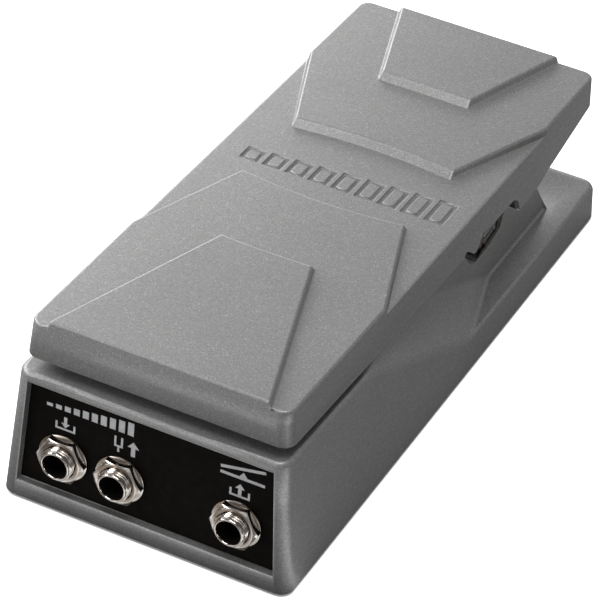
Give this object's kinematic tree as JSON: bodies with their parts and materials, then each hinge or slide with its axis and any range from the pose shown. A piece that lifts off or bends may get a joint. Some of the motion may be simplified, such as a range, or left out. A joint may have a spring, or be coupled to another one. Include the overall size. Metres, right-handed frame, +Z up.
{
  "type": "volume pedal",
  "caption": "Compact floor volume pedal: a stepped cast treadle rocks on a drafted cast base with a tower pivot, geared to a potentiometer, with jacks in the toe face.",
  "frame": {"origin": "centre of the rubber sole's underside", "axes": "+X across the pedal, +Y from the toe (jack face) to the heel, +Z up"},
  "size_m": [0.0868, 0.2141, 0.0595],
  "materials": {
    "cast_grey": "die cast, satin metallic grey paint",
    "label_black": "matt",
    "rubber_black": "matt",
    "plate_steel": "satin",
    "screw_zinc": "satin",
    "nickel": "polished",
    "jack_plastic": "satin",
    "contact_brass": "polished",
    "bush_bronze": "satin",
    "axle_steel": "satin",
    "nylon_white": "satin",
    "gear_steel": "satin",
    "gear_nylon": "satin",
    "screw_black": "satin",
    "pot_zinc": "satin",
    "pot_wafer_brown": "matt",
    "board_green": "satin",
    "wire_red": "satin",
    "wire_blue": "satin"
  },
  "bodies": {
    "base": {"base_housing": "cast_grey", "bottom_plate": "plate_steel", "rubber_sole": "rubber_black", "bottom_plate_screws": "screw_zinc", "label_plate": "label_black", "output_jack_body": "jack_plastic", "tuner_jack_body": "jack_plastic", "input_jack_body": "jack_plastic", "jack_bushings": "nickel", "jack_contacts": "contact_brass", "jack_washers": "nickel", "jack_nuts": "nickel", "pivot_axle": "axle_steel", "friction_washers": "nylon_white", "axle_washers": "screw_zinc", "axle_nuts": "nickel", "toe_bumpers": "rubber_black", "heel_bumpers": "rubber_black", "potentiometer_bushing": "pot_zinc", "potentiometer_wafer": "pot_wafer_brown", "potentiometer_can": "pot_zinc", "potentiometer_nut": "nickel", "potentiometer_bracket": "plate_steel", "bracket_screws": "screw_zinc", "circuit_board": "board_green", "board_screws": "screw_zinc", "wire_connectors": "nylon_white", "jack_wires": "wire_red", "potentiometer_wires": "wire_blue"},
    "treadle": {"treadle": "cast_grey", "pivot_bushes": "bush_bronze", "sector_gear": "gear_steel", "sector_screws": "screw_zinc"},
    "pinion": {"pinion_gear": "gear_nylon", "pinion_set_screw": "screw_black", "potentiometer_shaft": "axle_steel", "potentiometer_rotor": "jack_plastic"}
  },
  "joints": [
    {"name": "treadle_pivot", "type": "hinge", "parent": "base", "child": "treadle", "pos_m": [0, 0.0445, 0.025], "axis": [-1, 0, 0], "range_deg": [0, 16]},
    {"name": "pinion_spin", "type": "hinge", "parent": "base", "child": "pinion", "pos_m": [0, -0.0095, 0.025], "axis": [-1, 0, 0], "range_deg": [-80, 0]}
  ],
  "couplings": [
    {"joint": "pinion_spin", "follows": "treadle_pivot", "ratio": -5}
  ]
}
